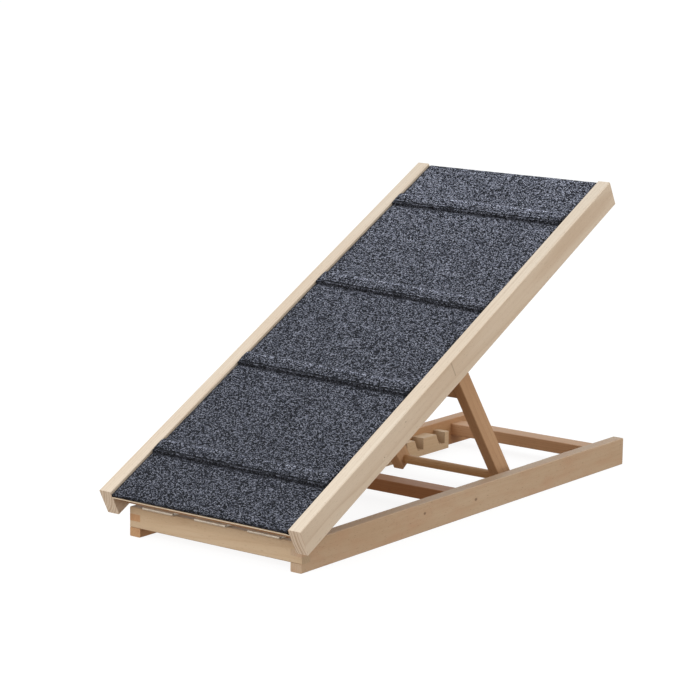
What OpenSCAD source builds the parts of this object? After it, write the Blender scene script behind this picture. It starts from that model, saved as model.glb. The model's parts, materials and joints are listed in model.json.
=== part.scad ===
// Folding dog ramp: a carpeted deck hinged to a low base frame at the front,
// held up by a hinged prop frame whose dowel drops into notched racks on the base.
// Millimetres, +Z up, +Y towards the high end, +X to the right seen from the low end.
// Origin: middle of the bounding box, on the floor.

/* [Deck] */
// Length of the deck along its slope
deck_len = 1000; // [700:5:1300]
// Width over the two deck rails
deck_w = 420.5; // [300:0.5:520]
// Thickness of a deck rail
deck_rail_t = 24.9; // [16:0.1:32]
// Depth of a deck rail, square to the slope
deck_rail_h = 47.5; // [36:0.5:70]
// Slope of the deck in the stored pose, degrees
deck_angle = 27.58; // [5:0.01:35]
// Height of a deck crossbar
deck_bar_h = 30.5; // [25:0.5:45]
// Thickness of a deck crossbar
deck_bar_t = 22; // [15:0.5:30]
// Height from the rails' lower edge to the panel's underside
panel_n = 35; // [30:0.5:50]
// Thickness of the plywood panel
panel_t = 5; // [3:0.5:9]
// Thickness of the carpet
carpet_t = 4; // [2:0.5:8]

/* [Treads] */
// Distance from the deck's low end to the first tread's front edge, at the deck's middle
tread_1_a = 112; // [60:0.5:160]
// Distance from the deck's low end to the second tread's front edge
tread_2_a = 360; // [300:0.5:420]
// Distance from the deck's low end to the third tread's front edge
tread_3_a = 603.5; // [540:0.5:660]
// Distance from the deck's low end to the fourth tread's front edge
tread_4_a = 864.5; // [800:0.5:900]
// How far the first tread is turned out of square, in degrees
tread_1_turn = -0.8; // [-3:0.1:3]
// How far the second tread is turned out of square, in degrees
tread_2_turn = -1.6; // [-3:0.1:3]
// How far the third tread is turned out of square, in degrees
tread_3_turn = -2.6; // [-3:0.1:3]
// How far the fourth tread is turned out of square, in degrees
tread_4_turn = -0.8; // [-3:0.1:3]
// Width of a tread batten along the slope
tread_w = 30; // [15:1:50]
// Height of a tread batten above the panel
tread_h = 5; // [3:0.5:12]

/* [Base] */
// Length of the base rails
base_len = 971; // [700:1:1300]
// Width over the two base rails
base_w = 361; // [260:1:460]
// Thickness of a base rail
base_rail_t = 22.3; // [15:0.1:30]
// Height of a base rail
base_h = 50; // [35:1:70]
// Height of the finger joint's foot at the base rail's front end
finger_foot = 15; // [8:1:20]
// Height of one finger
finger_h = 11.67; // [8:0.01:15]
// Front face of the middle crossbar, from the base's front
mid_bar_y = 449; // [300:1:600]
// Front face of the rear crossbar, from the base's front
rear_bar_y = 896; // [600:1:920]
// Width of the two inner crossbars along the base
base_bar_w = 36; // [25:1:60]
// Thickness of the two inner crossbars
base_bar_t = 22; // [15:1:30]
// Height of their undersides above the floor
base_bar_z = 19; // [5:1:28]

/* [Racks] */
// Thickness of a notched rack
rack_t = 26.5; // [14:0.5:30]
// Height of a rack's underside above the floor
rack_z = 5.4; // [2:0.1:12]
// Height of a rack
rack_h = 32.6; // [25:0.1:45]
// Number of notches in a rack
notch_count = 5; // [3:1:6]
// Notch that the dowel stands in, counted from the rear
notch_used = 4; // [1:1:6]
// Distance from the rear notch to the next one
rear_pitch = 69.5; // [45:0.5:80]
// Distance from one notch to the next in front of it
notch_pitch = 51.4; // [45:0.1:80]
// Length of a notch's floor
notch_floor = 17.6; // [15:0.1:22]
// Length of a notch's mouth
notch_mouth = 28.3; // [18:0.1:34]
// Length of the rack behind its last notch
rack_tail = 13.1; // [10:0.1:30]
// Length of the rack in front of its first notch
rack_nose = 22; // [10:1:40]

/* [Prop frame] */
// Distance of the prop hinge from the deck's low end
prop_a = 534.2; // [400:0.1:700]
// Sideways offset of the prop frame
prop_shift = 7.75; // [-9:0.05:9]
// Lean of the prop legs from upright, degrees
prop_lean = 34.91; // [10:0.01:50]
// Distance from the prop hinge to the dowel, along the leg
prop_len = 332.6; // [250:0.1:420]
// Length of a leg past the dowel
leg_tail = 12; // [12:1:30]
// Half the width over the two legs
leg_x = 122.25; // [80:0.05:123]
// Thickness of a leg
leg_t = 21; // [15:0.5:30]
// Depth of a leg
leg_d = 31.8; // [22:0.1:32]
// Radius of the dowel
dowel_r = 8.1; // [5:0.1:8.5]
// Lower edge of the stretcher, from the prop hinge
stretcher_u = 123.3; // [90:0.1:200]
// Height of the stretcher
stretcher_h = 36; // [22:1:50]

/* [Hinges] */
// Length of a butt hinge
hinge_len = 65; // [40:1:80]
// Width of one leaf
leaf_w = 25; // [15:0.5:32]
// Thickness of one leaf
leaf_t = 1.5; // [1:0.1:2.5]
// Outer radius of a knuckle
knuckle_r = 2.75; // [2:0.05:4]
// Radius of a hinge pin
pin_r = 1.5; // [1:0.05:2]
// Running clearance round the pin in the moving leaf
pin_play = 0.05; // [0.01:0.01:0.1]
// Gap between knuckles
knuckle_gap = 0.4; // [0.2:0.1:1]
// Distance between the front hinges' middles
hinge_pitch = 111.5; // [80:0.5:140]
// Sideways offset of the front hinges
hinge_shift = -5.5; // [-20:0.5:20]
// Half the distance between the two prop hinges' middles
prop_hinge_x = 52; // [40:1:58]

/* [Hidden] */
eps = 0.01;
ease = 1.2;
gap = 0.3;
knuckles = 5;
axis_y = -2;
axis_z = base_h + 2;
axis_a = 22.5;
axis_n = 2.5;
bar_n = panel_n - deck_bar_h;
inner_w = deck_w - 2 * deck_rail_t;
base_in = base_w / 2 - base_rail_t;
sa = sin(deck_angle);
ca = cos(deck_angle);
deck_y0 = axis_y - axis_a * ca + axis_n * sa;
deck_z0 = axis_z - axis_a * sa - axis_n * ca;
front_y = deck_y0 - deck_rail_h * sa;
mid_y = (front_y + base_len) / 2;
prop_n = 1;
prop_y = deck_y0 + prop_a * ca - prop_n * sa;
prop_z = deck_z0 + prop_a * sa + prop_n * ca;
leg_v = 2;
dowel_v = leg_v + leg_d / 2;
dowel_y = prop_y + prop_len * sin(prop_lean) + dowel_v * cos(prop_lean);
dowel_z = prop_z - prop_len * cos(prop_lean) + dowel_v * sin(prop_lean);
notch_z = dowel_z - dowel_r - gap;
used_wall = dowel_y + dowel_r + gap;
last_wall = used_wall + (notch_used > 1 ? rear_pitch : 0) + max(notch_used - 2, 0) * notch_pitch;
rack_end = last_wall + rack_tail;
rack_start = last_wall - rear_pitch - (notch_count - 2) * notch_pitch - notch_mouth - rack_nose;
carpet_n = panel_n + panel_t;
carpet_w = inner_w - 1;
tread_a = [tread_1_a, tread_2_a, tread_3_a, tread_4_a];
tread_turn = [tread_1_turn, tread_2_turn, tread_3_turn, tread_4_turn];
tread_end = 2.5;
tread_bevel = 6;
tread_fall = 8;
screw_r = 1.75;
head_r = 3.5;
head_d = 2;
leaf_screw = 15;
peg_r = 3;
peg_in = 12;
peg_out = 18;
rack_peg = 10;

// ---- frames: base, deck (x, along the slope, square to it), prop (x, along the leg, square) ----
module base_frame() {
    translate([0, -mid_y, 0])
        children();
}
module deck_frame() {
    base_frame()
        translate([0, deck_y0, deck_z0])
            rotate([deck_angle, 0, 0])
                children();
}
module prop_frame() {
    base_frame()
        translate([prop_shift, prop_y, prop_z])
            rotate([prop_lean - 90, 0, 0])
                children();
}

// ---- timber: a bar with eased long edges, from [0, 0, 0], running along X or along Y ----
module eased(w, h, e = ease) {
    polygon([[e, 0], [w - e, 0], [w, e], [w, h - e], [w - e, h], [e, h], [0, h - e], [0, e]]);
}
module bar_y(w, l, h, e = ease) {
    translate([0, l, 0])
        rotate([90, 0, 0])
            linear_extrude(height = l)
                eased(w, h, e);
}
module bar_x(l, w, h, e = ease) {
    rotate([90, 0, 90])
        linear_extrude(height = l)
            eased(w, h, e);
}
module box(lo, hi) {
    translate(lo)
        cube(hi - lo);
}

// ---- countersunk screw: head at the origin, shank down -Z ----
module screw(l) {
    difference() {
        union() {
            translate([0, 0, -head_d])
                cylinder(r1 = screw_r, r2 = head_r, h = head_d, $fn = 48);
            translate([0, 0, -l])
                cylinder(r = screw_r, h = l - head_d + eps, $fn = 48);
        }
        for (a = [0, 90])
            rotate([0, 0, a])
                translate([-2, -0.45, -1])
                    cube([4, 0.9, 2]);
    }
}
module screw_hole(l, play) {
    translate([0, 0, -head_d])
        cylinder(r1 = screw_r + play, r2 = head_r + play, h = head_d, $fn = 48);
    translate([0, 0, -eps])
        cylinder(r = head_r + play, h = 1, $fn = 48);
    translate([0, 0, -l - gap])
        cylinder(r = screw_r + play, h = l, $fn = 48);
}

// ---- blind peg across a joint: the joint face at the origin, peg_in below it and out above it ----
module peg(in, out) {
    translate([0, 0, -in])
        cylinder(r = peg_r, h = in + out, $fn = 48);
}
module peg_hole(in, out) {
    translate([0, 0, -in - gap])
        cylinder(r = peg_r + 0.05, h = in + out + 2 * gap, $fn = 48);
}

// ---- butt hinge leaf: axis along X at the origin, plate out along +Y, lower face at z = lift ----
// own is 0 for the knuckles at both ends and between, 1 for the ones in the other leaf.
knuckle_l = hinge_len / knuckles;
leaf_lift = 0.5;
screw_rows = [-24, 0, 24];
module leaf(own, bore) {
    clear = knuckle_r + gap;
    difference() {
        union() {
            box([-hinge_len / 2, clear, leaf_lift], [hinge_len / 2, leaf_w, leaf_lift + leaf_t]);
            for (i = [own:2:knuckles - 1]) {
                x0 = -hinge_len / 2 + i * knuckle_l + (i == 0 ? 0 : knuckle_gap / 2);
                x1 = -hinge_len / 2 + (i + 1) * knuckle_l - (i == knuckles - 1 ? 0 : knuckle_gap / 2);
                box([x0, 0, leaf_lift], [x1, clear + eps, leaf_lift + leaf_t]);
                translate([x0, 0, 0])
                    rotate([0, 90, 0])
                        cylinder(r = knuckle_r, h = x1 - x0, $fn = 64);
            }
        }
        translate([-hinge_len, 0, 0])
            rotate([0, 90, 0])
                cylinder(r = bore, h = 2 * hinge_len, $fn = 64);
        for (x = screw_rows)
            leaf_screw_at(x)
                screw_hole(leaf_t + 1, 0.2);
    }
}
// the screws go in from the leaf's inner face, which faces the other leaf when it is shut
module leaf_screw_at(x) {
    translate([x, leaf_w * 0.58, leaf_lift])
        rotate([180, 0, 0])
            children();
}
module leaf_screws() {
    for (x = screw_rows)
        leaf_screw_at(x)
            screw(leaf_screw);
}
module leaf_pilots() {
    for (x = screw_rows)
        leaf_screw_at(x)
            screw_hole(leaf_screw, 0.1);
}
module pin() {
    translate([-hinge_len / 2, 0, 0])
        rotate([0, 90, 0])
            cylinder(r = pin_r, h = hinge_len, $fn = 64);
}

// ---- where each hinge leaf sits ----
front_hinges = [hinge_shift - hinge_pitch, hinge_shift, hinge_shift + hinge_pitch];
module base_leaf_at(x) {
    base_frame()
        translate([x, axis_y, axis_z])
            mirror([0, 0, 1])
                children();
}
module deck_leaf_at(x) {
    deck_frame()
        translate([x, axis_a, axis_n])
            children();
}
// the prop hinge's fixed leaf lies on the middle crossbar's rear face, the moving one on the prop
module prop_deck_leaf_at(x) {
    deck_frame()
        translate([prop_shift + x, prop_a, prop_n])
            rotate([90, 0, 0])
                children();
}
module prop_leaf_at(x) {
    prop_frame()
        translate([x, 0, 0])
            rotate([90, 0, 0])
                mirror([0, 0, 1])
                    children();
}

// ---- base frame ----
rail_finger_lo = finger_foot + finger_h;
rail_finger_hi = finger_foot + 2 * finger_h;
// pegs point inward, from the rail's inner face into the crossbar or the rack
module base_peg_spots(side) {
    for (y = [mid_bar_y, rear_bar_y], d = [-9, 9])
        base_frame()
            translate([side * base_in, y + base_bar_w / 2 + d, base_bar_z + base_bar_t / 2])
                rotate([0, -side * 90, 0])
                    children();
}
module rack_peg_spots(side) {
    for (y = [rack_start + 10, used_wall + 20, last_wall - rear_pitch + 20])
        base_frame()
            translate([side * base_in, y, rack_z + 6])
                rotate([0, -side * 90, 0])
                    children();
}
module base_rail(side) {
    color("#b8946f")
        difference() {
            base_frame()
                translate([side > 0 ? base_in : -base_w / 2, 0, 0])
                    bar_y(base_rail_t, base_len, base_h);
            base_frame() {
                box([-base_w, -1, finger_foot], [base_w, deck_bar_t, rail_finger_lo]);
                box([-base_w, -1, rail_finger_hi], [base_w, deck_bar_t, base_h + 1]);
            }
            base_peg_spots(side)
                peg_hole(peg_in, peg_out);
            rack_peg_spots(side)
                peg_hole(rack_peg, rack_peg);
        }
}
module base_rail_left() { base_rail(-1); }
module base_rail_right() { base_rail(1); }

module base_front_crossbar() {
    color("#c29f78")
        difference() {
            base_frame()
                translate([-base_w / 2, 0, finger_foot])
                    bar_x(base_w, deck_bar_t, base_h - finger_foot);
            for (side = [-1, 1])
                base_frame()
                    translate([side * (base_w / 2 - base_rail_t / 2 + 0.5), 0, 0])
                        box([-base_rail_t / 2 - 0.5, -1, rail_finger_lo],
                            [base_rail_t / 2 + 0.5, deck_bar_t + 1, rail_finger_hi]);
            for (x = front_hinges)
                base_leaf_at(x)
                    leaf_pilots();
        }
}
module base_bar(y) {
    difference() {
        base_frame()
            translate([-base_in, y, base_bar_z])
                bar_x(2 * base_in, base_bar_w, base_bar_t);
        for (side = [-1, 1])
            base_peg_spots(side)
                peg_hole(peg_in, peg_out);
    }
}
module base_middle_crossbar() { color("#b48c66") base_bar(mid_bar_y); }
module base_rear_crossbar() { color("#b48c66") base_bar(rear_bar_y); }
module base_frame_pegs() {
    color("#c39a6c")
        for (side = [-1, 1])
            base_peg_spots(side)
                peg(peg_in, peg_out);
}

// ---- racks: a bar with notches that are square at the rear and slanted at the front ----
module rack_profile() {
    difference() {
        translate([rack_start, rack_z])
            square([rack_end - rack_start, rack_h]);
        for (i = [0:notch_count - 1]) {
            wall = last_wall - (i > 0 ? rear_pitch : 0) - max(i - 1, 0) * notch_pitch;
            top = rack_z + rack_h;
            over = (notch_mouth - notch_floor) / (top - notch_z);
            polygon([[wall, notch_z], [wall, top + 1],
                [wall - notch_mouth - over, top + 1], [wall - notch_floor, notch_z]]);
        }
    }
}
module rack(side) {
    color("#c4a47c")
        difference() {
            base_frame()
                translate([side > 0 ? base_in - rack_t : -base_in, 0, 0])
                    rotate([90, 0, 90])
                        linear_extrude(height = rack_t)
                            rack_profile();
            rack_peg_spots(side)
                peg_hole(rack_peg, rack_peg);
        }
}
module rack_left() { rack(-1); }
module rack_right() { rack(1); }
module rack_pegs() {
    color("#c39a6c")
        for (side = [-1, 1])
            rack_peg_spots(side)
                peg(rack_peg, rack_peg);
}

// ---- front hinges ----
module hinge_base_leaf(x) { color("#a8a6a2") base_leaf_at(x) leaf(0, pin_r); }
module hinge_base_leaf_left() { hinge_base_leaf(front_hinges[0]); }
module hinge_base_leaf_middle() { hinge_base_leaf(front_hinges[1]); }
module hinge_base_leaf_right() { hinge_base_leaf(front_hinges[2]); }
module hinge_base_screws() {
    color("#8d8a84")
        for (x = front_hinges)
            base_leaf_at(x)
                leaf_screws();
}
module hinge_pins() {
    color("#9a9894")
        for (x = front_hinges)
            base_leaf_at(x)
                pin();
}
module hinge_deck_leaf(x) { color("#a8a6a2") deck_leaf_at(x) leaf(1, pin_r + pin_play); }
module hinge_deck_leaf_left() { hinge_deck_leaf(front_hinges[0]); }
module hinge_deck_leaf_middle() { hinge_deck_leaf(front_hinges[1]); }
module hinge_deck_leaf_right() { hinge_deck_leaf(front_hinges[2]); }
module hinge_deck_screws() {
    color("#8d8a84")
        for (x = front_hinges)
            deck_leaf_at(x)
                leaf_screws();
}

// ---- deck ----
front_bar_a = axis_a + 2;
mid_bar_a = prop_a - 2 - deck_bar_t;
rear_bar_a = deck_len - 6 - deck_bar_t;
module deck_peg_spots(side) {
    for (a = [front_bar_a, mid_bar_a, rear_bar_a], d = [-8, 8])
        deck_frame()
            translate([side * inner_w / 2, a + deck_bar_t / 2, bar_n + deck_bar_h / 2 + d])
                rotate([0, -side * 90, 0])
                    children();
}
module deck_rail(side) {
    color("#e2d2b8")
        difference() {
            deck_frame()
                translate([side > 0 ? inner_w / 2 : -deck_w / 2, 0, 0])
                    bar_y(deck_rail_t, deck_len, deck_rail_h);
            deck_peg_spots(side)
                peg_hole(peg_in, peg_out);
        }
}
module deck_rail_left() { deck_rail(-1); }
module deck_rail_right() { deck_rail(1); }
module deck_bar(a) {
    difference() {
        deck_frame()
            translate([-inner_w / 2, a, bar_n])
                bar_x(inner_w, deck_bar_t, deck_bar_h);
        for (side = [-1, 1])
            deck_peg_spots(side)
                peg_hole(peg_in, peg_out);
    }
}
module deck_front_crossbar() {
    color("#b98f63")
        difference() {
            deck_bar(front_bar_a);
            for (x = front_hinges)
                deck_leaf_at(x)
                    leaf_pilots();
        }
}
module deck_middle_crossbar() {
    color("#b98f63")
        difference() {
            deck_bar(mid_bar_a);
            for (side = [-1, 1])
                prop_deck_leaf_at(side * prop_hinge_x)
                    leaf_pilots();
        }
}
module deck_rear_crossbar() { color("#b98f63") deck_bar(rear_bar_a); }
module deck_frame_pegs() {
    color("#c39a6c")
        for (side = [-1, 1])
            deck_peg_spots(side)
                peg(peg_in, peg_out);
}
module deck_panel() {
    color("#dcc39a")
        deck_frame()
            box([-inner_w / 2, 0, panel_n], [inner_w / 2, deck_len, panel_n + panel_t]);
}
// a section drawn in (a, n) from the tread's front edge, laid across the deck at the tread's own angle
module across_tread(i, length) {
    translate([0, tread_a[i], 0])
        rotate([0, 0, tread_turn[i]])
            translate([-length / 2, 0, 0])
                rotate([90, 0, 90])
                    linear_extrude(height = length)
                        children();
}
module tread_batten(i) {
    back = carpet_t + tread_w;
    color("#c9ad84")
        deck_frame()
            across_tread(i, inner_w - 2 * tread_end)
                polygon([[carpet_t, carpet_n], [back, carpet_n],
                    [back - tread_bevel, carpet_n + tread_h], [carpet_t, carpet_n + tread_h]]);
}
module tread_batten_1() { tread_batten(0); }
module tread_batten_2() { tread_batten(1); }
module tread_batten_3() { tread_batten(2); }
module tread_batten_4() { tread_batten(3); }

// the carpet lies on the panel, climbs each tread's square front and falls off its sloping back
module carpet_ridge() {
    top = carpet_n + carpet_t + tread_h;
    polygon([[0, carpet_n + 1], [tread_w + tread_fall * (1 + 1 / tread_h), carpet_n + 1],
        [tread_w + tread_fall * (1 + 1 / tread_h), carpet_n + carpet_t - 1],
        [tread_w, top], [1, top], [0, top - 1]]);
}
module carpet_hollow() {
    back = carpet_t + tread_w;
    polygon([[carpet_t, carpet_n - 1], [back + 1.2, carpet_n - 1], [back, carpet_n],
        [back - tread_bevel, carpet_n + tread_h], [carpet_t, carpet_n + tread_h]]);
}
module carpet() {
    color("#4b4a55")
        deck_frame()
            difference() {
                union() {
                    box([-carpet_w / 2, 0, carpet_n], [carpet_w / 2, deck_len, carpet_n + carpet_t]);
                    for (i = [0:3])
                        across_tread(i, inner_w + 40)
                            carpet_ridge();
                }
                for (i = [0:3])
                    across_tread(i, inner_w + 60)
                        carpet_hollow();
                box([-carpet_w / 2 - 60, 0, panel_n], [-carpet_w / 2, deck_len, carpet_n + 40]);
                box([carpet_w / 2, 0, panel_n], [carpet_w / 2 + 60, deck_len, carpet_n + 40]);
            }
}

// ---- prop hinges ----
module prop_hinge_deck_leaf(side) {
    color("#a8a6a2")
        prop_deck_leaf_at(side * prop_hinge_x)
            leaf(0, pin_r);
}
module prop_hinge_deck_leaf_left() { prop_hinge_deck_leaf(-1); }
module prop_hinge_deck_leaf_right() { prop_hinge_deck_leaf(1); }
module prop_hinge_deck_screws() {
    color("#8d8a84")
        for (side = [-1, 1])
            prop_deck_leaf_at(side * prop_hinge_x)
                leaf_screws();
}
module prop_hinge_leaf(side) {
    color("#a8a6a2")
        prop_leaf_at(side * prop_hinge_x)
            leaf(1, pin_r + pin_play);
}
module prop_hinge_leaf_left() { prop_hinge_leaf(-1); }
module prop_hinge_leaf_right() { prop_hinge_leaf(1); }
module prop_hinge_screws() {
    color("#8d8a84")
        for (side = [-1, 1])
            prop_leaf_at(side * prop_hinge_x)
                leaf_screws();
}
module prop_hinge_pins() {
    color("#9a9894")
        for (side = [-1, 1])
            prop_deck_leaf_at(side * prop_hinge_x)
                pin();
}

// ---- prop frame: legs run along +Y of their own frame, depth along +Z ----
leg_u0 = 2;
bar_len = 2 * (leg_x - leg_t);
module prop_peg_spots(side) {
    spots = [[leg_u0 + leg_t / 2, dowel_v - 7], [leg_u0 + leg_t / 2, dowel_v + 7],
        [stretcher_u - stretcher_h / 2 - 9, leg_v + leg_t / 2],
        [stretcher_u - stretcher_h / 2 + 9, leg_v + leg_t / 2]];
    for (p = spots)
        prop_frame()
            translate([side * (leg_x - leg_t), p[0], p[1]])
                rotate([0, -side * 90, 0])
                    children();
}
module prop_leg(side) {
    color("#b9936c")
        difference() {
            prop_frame()
                translate([side > 0 ? leg_x - leg_t : -leg_x, leg_u0, leg_v])
                    bar_y(leg_t, prop_len + leg_tail - leg_u0, leg_d);
            prop_frame()
                translate([side * (leg_x - leg_t / 2) - leg_t, prop_len, dowel_v])
                    rotate([0, 90, 0])
                        cylinder(r = dowel_r, h = 2 * leg_t, $fn = 96);
            prop_peg_spots(side)
                peg_hole(peg_in, peg_out);
        }
}
module prop_leg_left() { prop_leg(-1); }
module prop_leg_right() { prop_leg(1); }
module prop_bar(u, h) {
    difference() {
        prop_frame()
            translate([-bar_len / 2, u, leg_v])
                bar_x(bar_len, h, leg_t);
        for (side = [-1, 1])
            prop_peg_spots(side)
                peg_hole(peg_in, peg_out);
    }
}
module prop_top_crossbar() {
    color("#b9936c")
        difference() {
            prop_frame()
                translate([-bar_len / 2, leg_u0, leg_v])
                    bar_x(bar_len, leg_t, leg_d);
            for (side = [-1, 1]) {
                prop_peg_spots(side)
                    peg_hole(peg_in, peg_out);
                prop_leaf_at(side * prop_hinge_x)
                    leaf_pilots();
            }
        }
}
module prop_stretcher() { color("#b48c66") prop_bar(stretcher_u - stretcher_h, stretcher_h); }
module prop_dowel() {
    color("#b28b62")
        prop_frame()
            translate([1.5 - base_in - prop_shift, prop_len, dowel_v])
                rotate([0, 90, 0])
                    cylinder(r = dowel_r, h = 2 * base_in - 3, $fn = 96);
}
module prop_frame_pegs() {
    color("#c39a6c")
        for (side = [-1, 1])
            prop_peg_spots(side)
                peg(peg_in, peg_out);
}

base_rail_left();
base_rail_right();
base_front_crossbar();
base_middle_crossbar();
base_rear_crossbar();
base_frame_pegs();
rack_left();
rack_right();
rack_pegs();
hinge_base_leaf_left();
hinge_base_leaf_middle();
hinge_base_leaf_right();
hinge_base_screws();
hinge_pins();
deck_rail_left();
deck_rail_right();
deck_front_crossbar();
deck_middle_crossbar();
deck_rear_crossbar();
deck_frame_pegs();
deck_panel();
tread_batten_1();
tread_batten_2();
tread_batten_3();
tread_batten_4();
carpet();
hinge_deck_leaf_left();
hinge_deck_leaf_middle();
hinge_deck_leaf_right();
hinge_deck_screws();
prop_hinge_deck_leaf_left();
prop_hinge_deck_leaf_right();
prop_hinge_deck_screws();
prop_leg_left();
prop_leg_right();
prop_top_crossbar();
prop_stretcher();
prop_dowel();
prop_frame_pegs();
prop_hinge_leaf_left();
prop_hinge_leaf_right();
prop_hinge_screws();
prop_hinge_pins();
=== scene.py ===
import json
import math

import bpy
import numpy as np
from mathutils import Euler, Matrix, Vector


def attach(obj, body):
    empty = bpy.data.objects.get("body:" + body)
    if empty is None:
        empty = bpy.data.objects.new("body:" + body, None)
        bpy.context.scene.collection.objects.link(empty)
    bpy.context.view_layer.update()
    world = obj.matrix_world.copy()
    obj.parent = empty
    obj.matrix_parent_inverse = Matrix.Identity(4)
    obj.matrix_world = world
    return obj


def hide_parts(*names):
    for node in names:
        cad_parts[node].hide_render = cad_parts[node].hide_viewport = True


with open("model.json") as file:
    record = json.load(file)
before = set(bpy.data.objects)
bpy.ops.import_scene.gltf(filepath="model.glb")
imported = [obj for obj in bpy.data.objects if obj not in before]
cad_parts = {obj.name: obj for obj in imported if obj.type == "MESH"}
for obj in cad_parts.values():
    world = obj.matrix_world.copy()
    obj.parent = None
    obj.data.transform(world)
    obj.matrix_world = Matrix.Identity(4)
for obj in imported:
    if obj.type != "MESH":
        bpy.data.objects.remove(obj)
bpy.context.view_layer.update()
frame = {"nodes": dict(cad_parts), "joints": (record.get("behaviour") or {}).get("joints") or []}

nodes = frame["nodes"]
joints = {j["name"]: j for j in frame["joints"]}

# ---- the design's own numbers, in metres, as in part.scad ----
DECK = math.radians(27.58)
LEAN = math.radians(34.91)
DECK_LEN = 1.0
DECK_W = 0.4205
RAIL_T = 0.0249
PANEL_N = 0.035
PANEL_T = 0.005
CARPET_N = PANEL_N + PANEL_T
CARPET_T = 0.004
TREADS = [0.112, 0.360, 0.6035, 0.8645]
TURNS = [math.tan(math.radians(v)) for v in (-0.8, -1.6, -2.6, -0.8)]
TREAD_W = 0.030
TREAD_H = 0.005
AXIS_A = 0.0225
AXIS_N = 0.0025

# the deck's frame: x, a along the slope, n square to it; the front hinge axis is at a = AXIS_A, n = AXIS_N
hinge = Vector(joints["deck_tilt"]["pos_m"])
DECK_ROT = Matrix.Rotation(DECK, 3, "X")
DECK_ORIGIN = Vector((0, hinge.y, hinge.z)) - DECK_ROT @ Vector((0, AXIS_A, AXIS_N))


def deck_point(x, a, n):
    return DECK_ROT @ Vector((x, a, n)) + DECK_ORIGIN


# ---- a short way to write node trees ----
class Tree:
    def __init__(self, name):
        self.mat = bpy.data.materials.new(name)
        self.mat.use_nodes = True
        self.t = self.mat.node_tree
        self.t.nodes.clear()
        self.out = self.t.nodes.new("ShaderNodeOutputMaterial")
        self.bsdf = self.t.nodes.new("ShaderNodeBsdfPrincipled")
        self.t.links.new(self.bsdf.outputs[0], self.out.inputs["Surface"])
        self.coord = self.t.nodes.new("ShaderNodeTexCoord")

    def put(self, socket, value):
        if isinstance(value, bpy.types.NodeSocket):
            self.t.links.new(value, socket)
        elif value is not None:
            if hasattr(value, "__len__") and len(value) == 3 and socket.type == "RGBA":
                value = (*value, 1.0)
            socket.default_value = value

    def node(self, kind, out=0, props=(), **inputs):
        n = self.t.nodes.new("ShaderNode" + kind)
        for k, v in dict(props).items():
            setattr(n, k, v)
        for k, v in inputs.items():
            key = int(k[1:]) if k[0] == "i" and k[1:].isdigit() else k.replace("_", " ")
            self.put(n.inputs[key], v)
        return n.outputs[out]

    def math(self, op, a, b=None, c=None, clamp=False):
        n = self.t.nodes.new("ShaderNodeMath")
        n.operation = op
        n.use_clamp = clamp
        for i, v in enumerate((a, b, c)):
            if v is not None:
                self.put(n.inputs[i], v)
        return n.outputs[0]

    def vec(self, op, a, b=None, out=0):
        n = self.t.nodes.new("ShaderNodeVectorMath")
        n.operation = op
        self.put(n.inputs[0], a)
        if b is not None:
            self.put(n.inputs[1], b)
        return n.outputs[out]

    def scaled(self, v, k):
        return self.vec("MULTIPLY", v, k)

    def noise(self, v, scale=1.0, detail=2.0, rough=0.5, distort=0.0, out=0):
        n = self.t.nodes.new("ShaderNodeTexNoise")
        self.put(n.inputs["Vector"], v)
        n.inputs["Scale"].default_value = scale
        n.inputs["Detail"].default_value = detail
        n.inputs["Roughness"].default_value = rough
        n.inputs["Distortion"].default_value = distort
        return n.outputs[out]

    def voronoi(self, v, scale, feature="F1", out="Distance", random=1.0):
        n = self.t.nodes.new("ShaderNodeTexVoronoi")
        n.feature = feature
        self.put(n.inputs["Vector"], v)
        n.inputs["Scale"].default_value = scale
        n.inputs["Randomness"].default_value = random
        return n.outputs[out]

    def span(self, v, a, b, lo=0.0, hi=1.0, smooth=False):
        n = self.t.nodes.new("ShaderNodeMapRange")
        n.interpolation_type = "SMOOTHSTEP" if smooth else "LINEAR"
        self.put(n.inputs["Value"], v)
        n.inputs["From Min"].default_value = a
        n.inputs["From Max"].default_value = b
        n.inputs["To Min"].default_value = lo
        n.inputs["To Max"].default_value = hi
        return n.outputs[0]

    def ramp(self, v, stops, interpolation="LINEAR"):
        n = self.t.nodes.new("ShaderNodeValToRGB")
        r = n.color_ramp
        r.interpolation = interpolation
        while len(r.elements) < len(stops):
            r.elements.new(0.5)
        for e, (p, c) in zip(r.elements, stops):
            e.position = p
            e.color = (*c, 1.0) if hasattr(c, "__len__") else (c, c, c, 1.0)
        self.put(n.inputs[0], v)
        return n.outputs[0]

    def mix(self, fac, a, b, mode="MIX"):
        n = self.t.nodes.new("ShaderNodeMix")
        n.data_type = "RGBA"
        n.blend_type = mode
        self.put(n.inputs[0], fac)
        self.put(n.inputs[6], a)
        self.put(n.inputs[7], b)
        return n.outputs[2]

    def bump(self, height, strength, distance, normal=None):
        n = self.t.nodes.new("ShaderNodeBump")
        self.put(n.inputs["Height"], height)
        n.inputs["Strength"].default_value = strength
        n.inputs["Distance"].default_value = distance
        if normal is not None:
            self.put(n.inputs["Normal"], normal)
        return n.outputs[0]


def srgb(r, g, b):
    def lin(c):
        c /= 255
        return c / 12.92 if c <= 0.04045 else ((c + 0.055) / 1.055) ** 2.4
    return (lin(r), lin(g), lin(b))


# ---- wood: growth rings round a pith line, so that faces show long figure and ends show arcs ----
FRAMES = {"base": 0.0, "deck": -DECK, "prop": math.pi / 2 - LEAN}


def local_centre(o, euler):
    co = np.empty(len(o.data.vertices) * 3, np.float32)
    o.data.vertices.foreach_get("co", co)
    m = np.array(euler.to_matrix())
    p = co.reshape(-1, 3) @ m.T
    return Vector((p.min(0) + p.max(0)) / 2)


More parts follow.
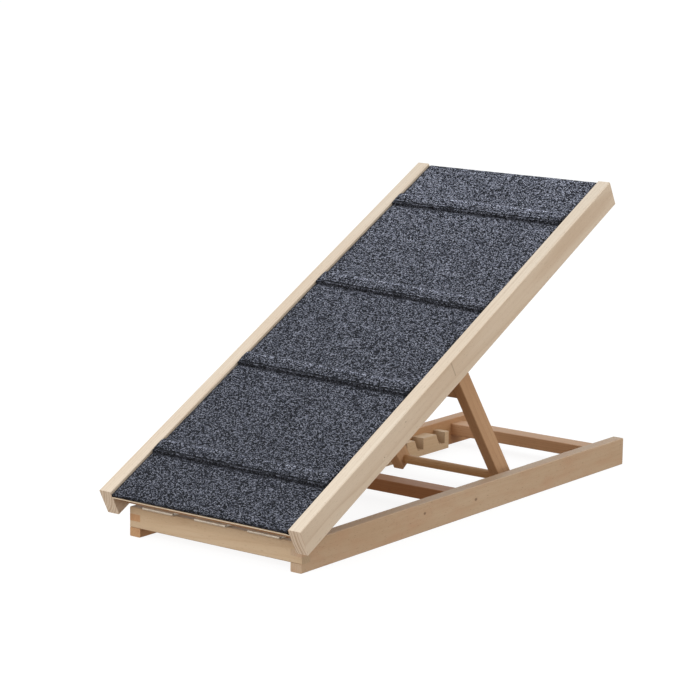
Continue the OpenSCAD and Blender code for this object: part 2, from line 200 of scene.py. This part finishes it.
def wood(node, body, along_x, tones, pith, spacing=0.0042, figure=1.0, knots=(), rough=0.5, seed=0.0, flecks=0.25, end_mark=0.3,
         end_tone=0.76, mottle=0.0, crack=None):
    """Solid softwood for one timber. tones is (light, middle, late wood); pith is the ring centre off the timber's middle."""
    o = nodes[node]
    euler = Euler((FRAMES[body], 0, math.pi / 2 if along_x else 0), "XYZ")
    centre = local_centre(o, euler)
    t = Tree("wood_" + node)
    place = t.node("Mapping", Vector=t.coord.outputs["Object"], Rotation=tuple(euler), Location=tuple(-centre))
    # slow wander of the pith and waviness of the rings along the timber
    p = t.vec("ADD", place, (seed * 1.7, seed * 3.1, seed * 0.9))
    slow = t.noise(t.scaled(p, (5.0, 1.3, 5.0)), 1.0, 2.0, 0.5, out="Color")
    wave = t.vec("SUBTRACT", slow, (0.5, 0.5, 0.5))
    q = t.vec("ADD", place, t.scaled(wave, (0.030, 0.0, 0.030)))
    fine_wave = t.noise(t.scaled(p, (60.0, 4.0, 60.0)), 1.0, 2.0, 0.5, out="Color")
    q = t.vec("ADD", q, t.scaled(t.vec("SUBTRACT", fine_wave, (0.5, 0.5, 0.5)), (0.0016, 0.0, 0.0016)))
    bend = None
    for (kx, ky, kz, kr) in knots:  # the rings flow round each knot
        d = t.vec("SUBTRACT", place, (kx, ky, kz))
        d = t.vec("LENGTH", t.scaled(d, (1.0, 0.42, 1.0)), out="Value")
        near = t.span(d, 0.0, kr * 3.2, 1.0, 0.0, smooth=True)
        bend = near if bend is None else t.math("MAXIMUM", bend, near)
    rel = t.vec("SUBTRACT", q, (pith[0], 0.0, pith[1]))
    radius = t.vec("LENGTH", t.scaled(rel, (1.0, 0.0, 1.0)), out="Value")
    if bend is not None:
        radius = t.math("ADD", radius, t.math("MULTIPLY", bend, 0.006))
    uneven = t.noise(t.node("CombineXYZ", X=radius, Y=seed, Z=0.3), 120.0, 1.0, 0.5)
    ring = t.math("ADD", t.math("DIVIDE", radius, spacing), t.math("MULTIPLY", uneven, 1.6))
    phase = t.math("FRACT", ring)
    late = t.ramp(phase, [(0.0, 0.10), (0.45, 0.05), (0.80, 0.55), (0.93, 1.0), (1.0, 0.15)])
    strength = t.span(t.noise(t.scaled(p, (20.0, 1.5, 20.0)), 1.0, 1.0), 0.3, 0.7, 0.45, 1.0)
    late = t.math("MULTIPLY", late, t.math("MULTIPLY", strength, figure))
    # fibres, pores and resin streaks
    fibre = t.noise(t.scaled(p, (900.0, 14.0, 900.0)), 1.0, 3.0, 0.6)
    streak = t.noise(t.scaled(p, (240.0, 3.0, 240.0)), 1.0, 3.0, 0.6)
    pore = t.noise(t.scaled(p, (2600.0, 60.0, 2600.0)), 1.0, 2.0, 0.6)
    pore = t.span(pore, 0.60, 0.74, 0.0, 1.0)
    cloud = t.noise(t.scaled(p, (22.0, 3.2, 22.0)), 1.0, 3.0, 0.55)
    light, middle, dark = tones
    colour = t.mix(t.span(cloud, 0.30, 0.70), light, middle)
    axis = euler.to_matrix().transposed() @ Vector((0, 1, 0))
    facing = t.math("ABSOLUTE", t.vec("DOT_PRODUCT", t.coord.outputs["Normal"], tuple(axis), out="Value"))
    end = t.span(facing, 0.75, 0.95)
    colour = t.mix(t.math("MULTIPLY", end, 0.85), colour, tuple(min(1.0, c * end_tone) for c in light))
    if mottle:  # pinkish blotches of a plain-sawn face
        blotch = t.noise(t.scaled(p, (38.0, 11.0, 38.0)), 1.0, 3.0, 0.6)
        rose = (middle[0] * 1.0, middle[1] * 0.84, middle[2] * 0.80)
        colour = t.mix(t.span(blotch, 0.44, 0.70, 0.0, mottle), colour, rose)
    strong = t.math("MULTIPLY", late, t.math("MULTIPLY_ADD", end, end_mark / figure, 0.75), clamp=True)
    colour = t.mix(strong, colour, dark)
    colour = t.mix(t.span(streak, 0.52, 0.78, 0.0, 0.45 * figure), colour, dark)
    colour = t.mix(t.span(fibre, 0.3, 0.7, 0.0, 0.16), colour, light)
    colour = t.mix(t.math("MULTIPLY", pore, 0.22), colour, tuple(c * 0.45 for c in dark))
    fleck = t.span(t.noise(t.scaled(p, (700.0, 130.0, 700.0)), 1.0, 1.0), 0.66, 0.72)
    colour = t.mix(t.math("MULTIPLY", fleck, flecks), colour, tuple(c * 0.6 for c in dark))
    knot_mask = None
    for (kx, ky, kz, kr) in knots:
        d = t.vec("SUBTRACT", t.vec("ADD", place, t.scaled(wave, (0.004, 0.006, 0.004))), (kx, ky, kz))
        d = t.vec("LENGTH", t.scaled(d, (1.0, 0.72, 1.0)), out="Value")
        m = t.span(d, kr * 0.55, kr * 1.15, 1.0, 0.0, smooth=True)
        knot_mask = m if knot_mask is None else t.math("MAXIMUM", knot_mask, m)
    if knot_mask is not None:
        colour = t.mix(t.math("MULTIPLY", knot_mask, 0.72), colour, tuple(c * 0.42 for c in dark))
    if crack:  # a short split across the grain: place along the timber, lean, lower and upper end
        at, lean, low, high = crack
        cut = t.math("ADD", t.node("SeparateXYZ", 1, Vector=q), t.math("MULTIPLY", t.node("SeparateXYZ", 2, Vector=q), lean))
        cut = t.span(t.math("ABSOLUTE", t.math("SUBTRACT", cut, at)), 0.0005, 0.0019, 0.42, 0.0)
        z = t.node("SeparateXYZ", 2, Vector=place)
        cut = t.math("MULTIPLY", cut, t.math("MULTIPLY", t.span(z, low, low + 0.002), t.span(z, high, high - 0.002)))
        colour = t.mix(cut, colour, tuple(c * 0.42 for c in dark))
    t.put(t.bsdf.inputs["Base Color"], colour)
    r = t.math("ADD", rough, t.math("MULTIPLY", t.math("SUBTRACT", streak, 0.5), 0.22))
    r = t.math("ADD", r, t.math("MULTIPLY", end, 0.14))
    t.put(t.bsdf.inputs["Roughness"], r)
    t.bsdf.inputs["Specular IOR Level"].default_value = 0.32
    height = t.math("ADD", t.math("MULTIPLY", fibre, 0.6), t.math("MULTIPLY", late, 0.35))
    height = t.math("SUBTRACT", height, t.math("MULTIPLY", pore, 0.5))
    t.put(t.bsdf.inputs["Normal"], t.bump(height, 0.35, 0.00018))
    dress(o, t.mat)
    return t


def dress(o, mat):
    if o.data.materials:
        for i in range(len(o.data.materials)):
            o.material_slots[i].link = "OBJECT"
            o.material_slots[i].material = mat
    else:
        o.data.materials.append(mat)


PALE = (srgb(212, 197, 178), srgb(204, 185, 163), srgb(170, 140, 110))
BASE = (srgb(190, 167, 141), srgb(181, 154, 126), srgb(150, 114, 84))
# a lighter copy of the base pine for the front crossbar: painted light for its front face
FRONT_PAINTED_LIGHT = (srgb(196, 174, 146), srgb(188, 163, 132), srgb(158, 124, 90))
TAN = (srgb(190, 155, 121), srgb(180, 141, 107), srgb(146, 101, 68))
# a darker, warmer copy of the pine for the middle crossbar: painted shade for its place under the deck
AMBER_PAINTED_SHADE = (srgb(177, 132, 94), srgb(167, 120, 83), srgb(136, 84, 52))
# a darker, warmer copy of the base pine for the far base rail: painted shade for its inner face
INNER_PAINTED_SHADE = (srgb(183, 145, 107), srgb(173, 131, 94), srgb(142, 96, 61))
PEG = (srgb(186, 161, 132), srgb(176, 148, 119), srgb(142, 108, 78))
REAR = (srgb(198, 159, 123), srgb(188, 145, 109), srgb(154, 106, 72))
RACK = (srgb(206, 183, 153), srgb(197, 170, 138), srgb(162, 126, 92))
DOWEL = (srgb(196, 160, 118), srgb(184, 144, 101), srgb(142, 100, 64))

wood("deck_rail_right", "deck", False, PALE, (0.115, 0.004), 0.0062, 0.5, seed=1.3, end_mark=1.0, end_tone=1.12,
     crack=(-0.0465, 0.07, -0.007, 0.0225), knots=[(0.0125, -0.268, -0.007, 0.0012), (0.0125, -0.195, 0.010, 0.0012)])
wood("deck_rail_left", "deck", False, PALE, (-0.080, 0.050), 0.0056, 0.5, seed=4.1, end_mark=0.7, end_tone=1.12)
for name, s in (("deck_front_crossbar", 2.2), ("deck_middle_crossbar", 5.7), ("deck_rear_crossbar", 8.4)):
    wood(name, "deck", True, TAN, (0.03, -0.05), 0.0036, 0.6, seed=s)
wood("base_front_crossbar", "base", True, FRONT_PAINTED_LIGHT, (-0.045, 0.012), 0.0046, 0.45, seed=3.3)
wood("base_rail_right", "base", False, BASE, (0.060, -0.018), 0.0044, 0.2, seed=6.2, flecks=0.35, mottle=0.5, end_tone=0.9,
     knots=[(0.0112, -0.151, 0.0075, 0.0027), (0.0112, 0.0005, 0.002, 0.0031)])
wood("base_rail_left", "base", False, INNER_PAINTED_SHADE, (-0.050, 0.025), 0.0044, 0.2, seed=9.6, flecks=0.35, mottle=0.5, end_tone=1.0)
wood("base_middle_crossbar", "base", True, AMBER_PAINTED_SHADE, (0.04, 0.05), 0.0040, 0.5, seed=11.2)
wood("base_rear_crossbar", "base", True, REAR, (-0.03, 0.06), 0.0040, 0.5, seed=12.9)
wood("rack_left", "base", False, RACK, (0.05, 0.03), 0.0038, 0.4, seed=14.5)
wood("rack_right", "base", False, RACK, (-0.05, 0.04), 0.0038, 0.4, seed=15.8)
wood("prop_leg_left", "prop", False, TAN, (0.05, 0.02), 0.0040, 0.45, seed=17.1)
wood("prop_leg_right", "prop", False, TAN, (0.055, -0.02), 0.0042, 0.45, seed=18.7)
wood("prop_top_crossbar", "prop", True, TAN, (0.03, 0.05), 0.0040, 0.5, seed=19.9)
wood("prop_stretcher", "prop", True, TAN, (-0.04, 0.05), 0.0040, 0.5, seed=21.3)
wood("prop_dowel", "prop", True, DOWEL, (0.02, 0.03), 0.0030, 0.5, seed=22.6, rough=0.46)
for i in range(1, 5):
    wood(f"tread_batten_{i}", "deck", True, TAN, (0.02, 0.05), 0.0035, 0.6, seed=24.0 + i)
for name, body in (("base_frame_pegs", "base"), ("rack_pegs", "base"), ("deck_frame_pegs", "deck"), ("prop_frame_pegs", "prop")):
    if name in nodes:
        wood(name, body, True, PEG, (0.02, 0.03), 0.0030, 0.5, seed=30.0)


# ---- plywood: three layers seen at the edges, rotary-cut figure on the faces ----
def plywood(node):
    o = nodes[node]
    euler = Euler((FRAMES["deck"], 0, 0), "XYZ")
    centre = local_centre(o, euler)
    t = Tree("plywood_" + node)
    p = t.node("Mapping", Vector=t.coord.outputs["Object"], Rotation=tuple(euler), Location=tuple(-centre))
    n = t.node("SeparateXYZ", 2, Vector=p)
    axis = euler.to_matrix().transposed() @ Vector((0, 0, 1))
    facing = t.math("ABSOLUTE", t.vec("DOT_PRODUCT", t.coord.outputs["Normal"], tuple(axis), out="Value"))
    face = t.span(facing, 0.6, 0.9)
    wander = t.noise(t.scaled(p, (8.0, 2.0, 8.0)), 1.0, 3.0, 0.5)
    band = t.math("FRACT", t.math("MULTIPLY", wander, 14.0))
    figure = t.ramp(band, [(0.0, 0.1), (0.5, 0.0), (0.85, 0.8), (1.0, 0.1)])
    fibre = t.noise(t.scaled(p, (700.0, 12.0, 700.0)), 1.0, 3.0, 0.6)
    light, dark = srgb(228, 203, 160), srgb(186, 148, 100)
    top = t.mix(t.math("MULTIPLY", figure, 0.5), light, dark)
    top = t.mix(t.span(fibre, 0.45, 0.75, 0.0, 0.4), top, dark)
    core = t.span(t.math("ABSOLUTE", n), 0.0008, 0.0010, 1.0, 0.0)
    across = t.noise(t.scaled(p, (30.0, 900.0, 900.0)), 1.0, 2.0, 0.6)
    # the edge shows the ply's own pale layers, and its colours are also painted lighter, standing in for light that the
    # edge under the carpet's lip does not get
    edge = t.mix(core, srgb(246, 236, 216), srgb(222, 202, 172))
    edge = t.mix(t.span(across, 0.4, 0.7, 0.0, 0.30), edge, srgb(184, 154, 120))
    t.put(t.bsdf.inputs["Base Color"], t.mix(face, edge, top))
    t.put(t.bsdf.inputs["Roughness"], t.span(fibre, 0.3, 0.7, 0.52, 0.68))
    t.bsdf.inputs["Specular IOR Level"].default_value = 0.3
    t.put(t.bsdf.inputs["Normal"], t.bump(fibre, 0.3, 0.00015))
    dress(o, t.mat)


plywood("deck_panel")


# ---- steel: zinc-plated leaves, knuckles, pins and screws ----
def steel(name, colour, rough, brushed, metallic=1.0):
    t = Tree(name)
    p = t.coord.outputs["Object"]
    lines = t.noise(t.scaled(p, (30.0, 2200.0, 2200.0)) if brushed else t.scaled(p, (1500.0,) * 3), 1.0, 3.0, 0.6)
    spangle = t.voronoi(t.scaled(p, (1.0, 1.0, 1.0)), 420.0, out="Color")
    grey = t.node("SeparateColor", 0, Color=spangle)
    blot = t.noise(p, 60.0, 3.0, 0.6)
    tone = t.mix(t.span(blot, 0.35, 0.7, 0.0, 0.5), colour, tuple(c * 0.62 for c in colour))
    tone = t.mix(t.math("MULTIPLY", grey, 0.12), tone, tuple(min(1, c * 1.25) for c in colour))
    t.put(t.bsdf.inputs["Base Color"], tone)
    t.bsdf.inputs["Metallic"].default_value = metallic
    r = t.math("ADD", t.span(lines, 0.3, 0.7, rough - 0.07, rough + 0.09), t.math("MULTIPLY", blot, 0.10))
    t.put(t.bsdf.inputs["Roughness"], r)
    t.put(t.bsdf.inputs["Normal"], t.bump(lines, 0.18, 0.00008))
    return t.mat


leaf_steel = steel("hinge_steel", srgb(228, 220, 206), 0.42, True, 0.6)
pin_steel = steel("pin_steel", srgb(168, 164, 160), 0.28, True)
screw_steel = steel("screw_steel", srgb(178, 174, 168), 0.30, False)
for name, o in nodes.items():
    if "leaf" in name:
        dress(o, leaf_steel)
    elif "pins" in name:
        dress(o, pin_steel)
    elif "screws" in name:
        dress(o, screw_steel)


# ---- carpet: one ribbed sheet laid over the panel and the treads ----
def tread_profile():
    """Points (a, n, shade) of the carpet's upper face from the low end to the high end. shade is painted shade and
    highlight: towards 1 it darkens the pile with painted shade at the lips, before and up the front of each tread and
    in its creases; below 0 it is a painted highlight.
    """
    top = CARPET_N + CARPET_T
    high = top + TREAD_H
    lip = CARPET_N - 0.0016
    # painted shade down the folded lip at the low end and in the crease just behind it
    pts = [(-0.0005, lip, 0.8), (-0.0011, lip + 0.0005, 0.8), (-0.0014, CARPET_N + 0.0004, 0.8), (-0.0014, top - 0.0022, 0.75),
           (-0.0008, top - 0.0009, 0.65), (0.0008, top - 0.0002, 0.45), (0.0024, top, 0.05), (0.0042, top, 0.0),
           (0.0058, top - 0.0007, 0.5), (0.0070, top - 0.0006, 0.3), (0.0088, top, 0.0), (0.0120, top, 0.0)]
    # painted shade: a painted shadow on the pile before each tread's foot, then dark up its front face and in the
    # creases on its top
    step = [(-0.0120, 0.0, 0.0), (-0.0080, 0.0, 0.04), (-0.0045, -0.0001, 0.22), (-0.0018, -0.0005, 0.55), (0.0, -0.0008, 0.84),
            (0.0003, 0.0009, 0.80), (0.0005, 0.0024, 0.72), (0.0007, 0.0038, 0.66), (0.0014, 0.0047, 0.25), (0.0026, 0.0048, 0.22),
            (0.0037, 0.0042, 0.80), (0.0052, 0.0035, 1.0), (0.0065, 0.0043, 0.80), (0.0077, 0.0050, 0.0), (0.0091, 0.0051, -0.22),
            (0.0104, 0.0048, 0.2), (0.0116, 0.0044, 0.5), (0.0128, 0.0048, 0.15), (0.0142, 0.0050, 0.0)]
    # negative shade is a painted highlight along the back edge of each tread
    fall = [(-0.0070, 0.0050, 0.0), (-0.0040, 0.0050, -0.35), (-0.0020, 0.0049, -1.0), (0.0002, 0.0046, -0.6), (0.0026, 0.0036, -0.1),
            (0.0050, 0.0020, 0.0), (0.0078, 0.0004, 0.0), (0.0100, -0.0001, 0.1), (0.0140, 0.0, 0.0)]
    for a in TREADS:
        pts += [(a + u, top + v, s) for u, v, s in step]
        pts += [(a + TREAD_W + u, top + v, s) for u, v, s in fall]
    # painted shade down the folded lip at the high end
    pts += [(DECK_LEN - 0.0070, top, 0.0), (DECK_LEN - 0.0010, top - 0.0001, 0.05), (DECK_LEN + 0.0010, top - 0.0006, 0.2),
            (DECK_LEN + 0.0017, top - 0.0018, 0.5), (DECK_LEN + 0.0017, CARPET_N + 0.0004, 0.8), (DECK_LEN + 0.0009, lip + 0.0006, 0.9),
            (DECK_LEN + 0.0005, lip, 0.9)]
    return pts


def underside(a):
    """Height of what the carpet lies on: the panel, or a tread batten."""
    n = CARPET_N
    for a0 in TREADS:
        b0 = a0 + CARPET_T
        if b0 - 0.0004 <= a <= b0 + TREAD_W + 0.0012:
            if a >= b0 + TREAD_W - 0.006:
                n = max(n, CARPET_N + TREAD_H * min(1.0, (b0 + TREAD_W + 0.0006 - a) / 0.006))
            else:
                n = max(n, CARPET_N + TREAD_H)
    return n + 0.00015


def resample(pts, step):
    out = []
    for (a0, n0, s0), (a1, n1, s1) in zip(pts, pts[1:]):
        k = max(1, int(round(math.hypot(a1 - a0, n1 - n0) / step)))
        for i in range(k):
            f = i / k
            out.append((a0 + (a1 - a0) * f, n0 + (n1 - n0) * f, s0 + (s1 - s0) * f))
    out.append(pts[-1])
    return out


def value_noise(shape, cell, rng):
    """Smooth noise on a grid, one random value every cell points."""
    gh, gw = shape[0] // cell + 3, shape[1] // cell + 3
    g = rng.random((gh, gw))
    y = np.arange(shape[0]) / cell
    x = np.arange(shape[1]) / cell
    yi, xi = y.astype(int), x.astype(int)
    fy, fx = (y - yi)[:, None], (x - xi)[None, :]
    fy, fx = fy * fy * (3 - 2 * fy), fx * fx * (3 - 2 * fx)
    a = g[np.ix_(yi, xi)] * (1 - fx) + g[np.ix_(yi, xi + 1)] * fx
    b = g[np.ix_(yi + 1, xi)] * (1 - fx) + g[np.ix_(yi + 1, xi + 1)] * fx
    return a * (1 - fy) + b * fy


def make_carpet():
    rng = np.random.default_rng(7)
    step = 0.0024
    prof = resample(tread_profile(), step)
    half = DECK_W / 2 - RAIL_T - 0.0007
    cols = int(round(2 * half / 0.0038)) + 1
    xs = np.linspace(-half, half, cols)
    rows = len(prof)
    a = np.array([p[0] for p in prof])
    n = np.array([p[1] for p in prof])
    s = np.array([p[2] for p in prof])
    da, dn = np.gradient(a), np.gradient(n)
    ln = np.hypot(da, dn)
    na, nn = -dn / ln, da / ln  # outward, square to the profile
    lumps = value_noise((rows, cols), 1, rng) - 0.5
    tufts = value_noise((rows, cols), 2, rng) - 0.5
    slow = value_noise((rows, cols), 14, rng) - 0.5
    # edges sit down a little beside the rails
    edge = np.clip((half - np.abs(xs)) / 0.006, 0, 1)
    fall = (1 - edge) ** 2 * 0.0011
    push = lumps * 0.00032 + tufts * 0.00038 + slow * 0.00045 - 0.00045
    ends = np.minimum(np.arange(rows), rows - 1 - np.arange(rows))
    push *= np.clip(ends / 6, 0.15, 1)[:, None]
    # the fold lines are not quite straight
    shift = (value_noise((rows, cols), 24, rng) - 0.5) * 0.0006
    A = a[:, None] + na[:, None] * push + shift * (np.abs(na) > 0.5)[:, None]
    N = n[:, None] + nn[:, None] * push - fall[None, :]
    # each tread lies a little out of square, and the carpet between them follows
    zones, turns = [0.0], [0.0]
    for a0, turn in zip(TREADS, TURNS):
        zones += [a0 - 0.02, a0 + TREAD_W + 0.02]
        turns += [turn, turn]
    skew = np.interp(a, zones + [DECK_LEN], turns + [0.0])[:, None] * xs[None, :]
    floor = np.array([underside(v) for v in a])[:, None] + 0.0012
    N = np.where(nn[:, None] > 0.5, np.maximum(N, floor - 0.0002), N)
    top = np.stack([np.broadcast_to(xs, A.shape), A + skew, N], -1).reshape(-1, 3)
    # painted shade: the pile is darkened in a narrow band beside each rail, where the shadow gap at the rail lies
    shade = np.broadcast_to(s[:, None], A.shape) + (1 - edge)[None, :] ** 1.4 * 0.9
    # the lower face: flat on the panel, over the battens and down the panel's two ends
    low_a = np.clip(a, -0.0003, DECK_LEN + 0.0003)
    hangs = (a < low_a) | (a > low_a)
    low = np.array([underside(v) for v in a])
    low = np.where(hangs, np.minimum(n, CARPET_N + 0.0001), np.maximum(np.minimum(low, N.min(1) - 0.0008), CARPET_N + 0.0001))
    bottom = np.stack([np.broadcast_to(xs, A.shape), low_a[:, None] + skew,
                       np.broadcast_to(low[:, None], A.shape)], -1).reshape(-1, 3)
    pts = np.concatenate([top, bottom])
    rot = np.array(DECK_ROT)
    world = pts @ rot.T + np.array(DECK_ORIGIN)
    idx = np.arange(rows * cols).reshape(rows, cols)
    q = np.stack([idx[:-1, :-1], idx[:-1, 1:], idx[1:, 1:], idx[1:, :-1]], -1).reshape(-1, 4)
    k = rows * cols
    faces = [q, q[:, ::-1] + k]
    left, right = idx[:, 0], idx[:, -1]
    faces.append(np.stack([left[:-1], left[1:], left[1:] + k, left[:-1] + k], -1))
    faces.append(np.stack([right[1:], right[:-1], right[:-1] + k, right[1:] + k], -1))
    first, last = idx[0], idx[-1]
    faces.append(np.stack([first[1:], first[:-1], first[:-1] + k, first[1:] + k], -1))
    faces.append(np.stack([last[:-1], last[1:], last[1:] + k, last[:-1] + k], -1))
    faces = np.concatenate(faces)
    mesh = bpy.data.meshes.new("carpet_sheet")
    mesh.from_pydata(world.tolist(), [], faces.tolist())
    mesh.validate()
    # the attribute carries the painted shade and highlight of the upper face, and painted shade of 0.6 on the lower
    # face
    attribute = mesh.attributes.new("painted_shade_and_highlight", "FLOAT", "POINT")
    attribute.data.foreach_set("value", np.concatenate([shade.reshape(-1), np.full(k, 0.6)]).astype(np.float32))
    mesh.polygons.foreach_set("use_smooth", np.ones(len(mesh.polygons), bool))
    o = bpy.data.objects.new("carpet_sheet", mesh)
    bpy.context.scene.collection.objects.link(o)
    return o


def carpet_material():
    t = Tree("carpet_pile")
    p = t.node("Mapping", Vector=t.coord.outputs["Object"], Rotation=(-DECK, 0, 0))
    wob = t.noise(p, 420.0, 1.0, 0.5, out="Color")
    q = t.vec("ADD", p, t.scaled(t.vec("SUBTRACT", wob, (0.5, 0.5, 0.5)), (0.0016, 0.0012, 0.0012)))
    q = t.scaled(q, (0.74, 1.0, 1.0))
    cell = t.node("SeparateColor", 0, Color=t.voronoi(q, 690.0, out="Color"))
    small = t.node("SeparateColor", 1, Color=t.voronoi(q, 1250.0, out="Color"))
    fine = t.noise(q, 2200.0, 2.0, 0.6)
    patch = t.noise(p, 45.0, 3.0, 0.6)
    v = t.math("ADD", t.math("MULTIPLY", cell, 0.76), t.math("MULTIPLY", small, 0.24))
    v = t.math("ADD", v, t.math("MULTIPLY", t.math("SUBTRACT", fine, 0.5), 0.22))
    v = t.math("ADD", v, t.math("MULTIPLY", t.math("SUBTRACT", patch, 0.5), 0.10))
    v = t.math("MULTIPLY_ADD", v, 1.58, -0.320)
    colour = t.ramp(v, [(0.0, srgb(1, 1, 2)), (0.36, srgb(6, 7, 11)), (0.52, srgb(36, 38, 48)),
                        (0.66, srgb(96, 100, 115)), (0.80, srgb(160, 164, 178)), (1.0, srgb(224, 227, 238))])
    # painted light: the pile is painted greyer and brighter towards the high end, standing in for the stronger light
    # there
    up = t.math("POWER", t.span(t.node("SeparateXYZ", 1, Vector=p), -0.45, 0.60), 1.8)
    up = t.math("MULTIPLY_ADD", up, 0.275, 0.288)
    colour = t.mix(1.0, colour, t.node("CombineColor", Red=up, Green=up, Blue=t.math("MULTIPLY", up, 1.06)), "MULTIPLY")
    # painted shade and painted highlight: the colour is cut to a tenth where the attribute is 1 and raised 2.1 times
    # where it is -1
    painted_shade_and_highlight = t.node("Attribute", 2, props={"attribute_name": "painted_shade_and_highlight"})
    painted_light_factor = t.math("MULTIPLY", t.span(painted_shade_and_highlight, 0.0, 1.0, 1.0, 0.10), t.span(painted_shade_and_highlight, 0.0, -1.0, 1.0, 2.1))
    colour = t.mix(1.0, colour, t.node("CombineColor", Red=painted_light_factor, Green=painted_light_factor, Blue=painted_light_factor), "MULTIPLY")
    t.put(t.bsdf.inputs["Base Color"], colour)
    t.bsdf.inputs["Roughness"].default_value = 0.92
    t.bsdf.inputs["Specular IOR Level"].default_value = 0.08
    t.bsdf.inputs["Sheen Weight"].default_value = 0.06
    t.bsdf.inputs["Sheen Roughness"].default_value = 0.6
    t.bsdf.inputs["Sheen Tint"].default_value = (0.75, 0.78, 0.9, 1.0)
    loops = t.math("SUBTRACT", 1.0, t.voronoi(q, 520.0))
    height = t.math("ADD", loops, t.math("MULTIPLY", fine, 0.9))
    t.put(t.bsdf.inputs["Normal"], t.bump(height, 0.7, 0.0011))
    return t.mat


carpet = make_carpet()
carpet.data.materials.append(carpet_material())
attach(carpet, "deck")
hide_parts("carpet")


# ---- stage: floor, light, camera ----
def studio():
    mesh = bpy.data.meshes.new("floor")
    r = 300.0
    mesh.from_pydata([(-r, -r, 0), (r, -r, 0), (r, r, 0), (-r, r, 0)], [], [(0, 1, 2, 3)])
    floor = bpy.data.objects.new("floor", mesh)
    floor.location.z = -0.0004
    bpy.context.scene.collection.objects.link(floor)
    t = Tree("floor_paint")
    n = t.noise(t.coord.outputs["Object"], 3.0, 3.0, 0.5)
    t.put(t.bsdf.inputs["Base Color"], t.mix(n, (0.17, 0.17, 0.17), (0.18, 0.18, 0.18)))
    t.bsdf.inputs["Emission Color"].default_value = (1.0, 1.0, 1.0, 1.0)
    t.bsdf.inputs["Emission Strength"].default_value = 0.88
    t.bsdf.inputs["Roughness"].default_value = 0.9
    t.bsdf.inputs["Specular IOR Level"].default_value = 0.0
    mesh.materials.append(t.mat)
    floor.visible_diffuse = False
    floor.visible_glossy = False

    # an even white dome above, and a dim warm bounce from below
    world = bpy.data.worlds.new("studio")
    bpy.context.scene.world = world
    world.use_nodes = True
    w = world.node_tree
    w.nodes.clear()
    out = w.nodes.new("ShaderNodeOutputWorld")
    bg = w.nodes.new("ShaderNodeBackground")
    coord = w.nodes.new("ShaderNodeTexCoord")
    split = w.nodes.new("ShaderNodeSeparateXYZ")
    ramp = w.nodes.new("ShaderNodeValToRGB")
    shift = w.nodes.new("ShaderNodeMath")
    shift.operation = "MULTIPLY_ADD"
    shift.inputs[1].default_value = 0.5
    shift.inputs[2].default_value = 0.5
    ramp.color_ramp.elements[0].position = 0.46
    ramp.color_ramp.elements[0].color = (0.30, 0.21, 0.14, 1)
    ramp.color_ramp.elements[1].position = 0.50
    ramp.color_ramp.elements[1].color = (0.93, 0.97, 1.0, 1)
    w.links.new(coord.outputs["Generated"], split.inputs[0])
    w.links.new(split.outputs[2], shift.inputs[0])
    w.links.new(shift.outputs[0], ramp.inputs[0])
    w.links.new(ramp.outputs[0], bg.inputs["Color"])
    bg.inputs["Strength"].default_value = 0.97
    w.links.new(bg.outputs[0], out.inputs["Surface"])

    def area(name, at, size, power, colour=(1, 1, 1), to=(0, 0, 0.2)):
        light = bpy.data.lights.new(name, "AREA")
        light.shape = "RECTANGLE"
        light.size, light.size_y = size
        light.energy = power
        light.color = colour
        o = bpy.data.objects.new(name, light)
        o.location = at
        o.rotation_mode = "QUATERNION"
        o.rotation_quaternion = (Vector(to) - Vector(at)).to_track_quat("-Z", "Y")
        bpy.context.scene.collection.objects.link(o)
        return o

    area("key", (-0.5, -3.4, 1.75), (2.2, 2.2), 70)
    area("fill", (3.2, 0.6, 1.2), (2.0, 2.0), 29, (1.0, 0.91, 0.78))


def camera():
    az, el, roll = math.radians(36.89), math.radians(11.03), math.radians(0.828)
    side = Vector((math.cos(az), math.sin(az), 0))
    back = Vector((math.sin(az) * math.cos(el), -math.cos(az) * math.cos(el), math.sin(el)))
    rise = back.cross(side)
    right = math.cos(roll) * side + math.sin(roll) * rise
    up = -math.sin(roll) * side + math.cos(roll) * rise
    data = bpy.data.cameras.new("camera")
    data.sensor_width = 36.0
    data.lens = 134.99
    o = bpy.data.objects.new("camera", data)
    m = Matrix.Identity(4)
    for i, v in enumerate((right, up, back)):
        for j in range(3):
            m[j][i] = v[j]
    m.translation = (2.6352, -3.6158, 1.1396)
    o.matrix_world = m
    bpy.context.scene.collection.objects.link(o)
    bpy.context.scene.camera = o


studio()
camera()
bpy.context.scene.view_settings.view_transform = "Standard"
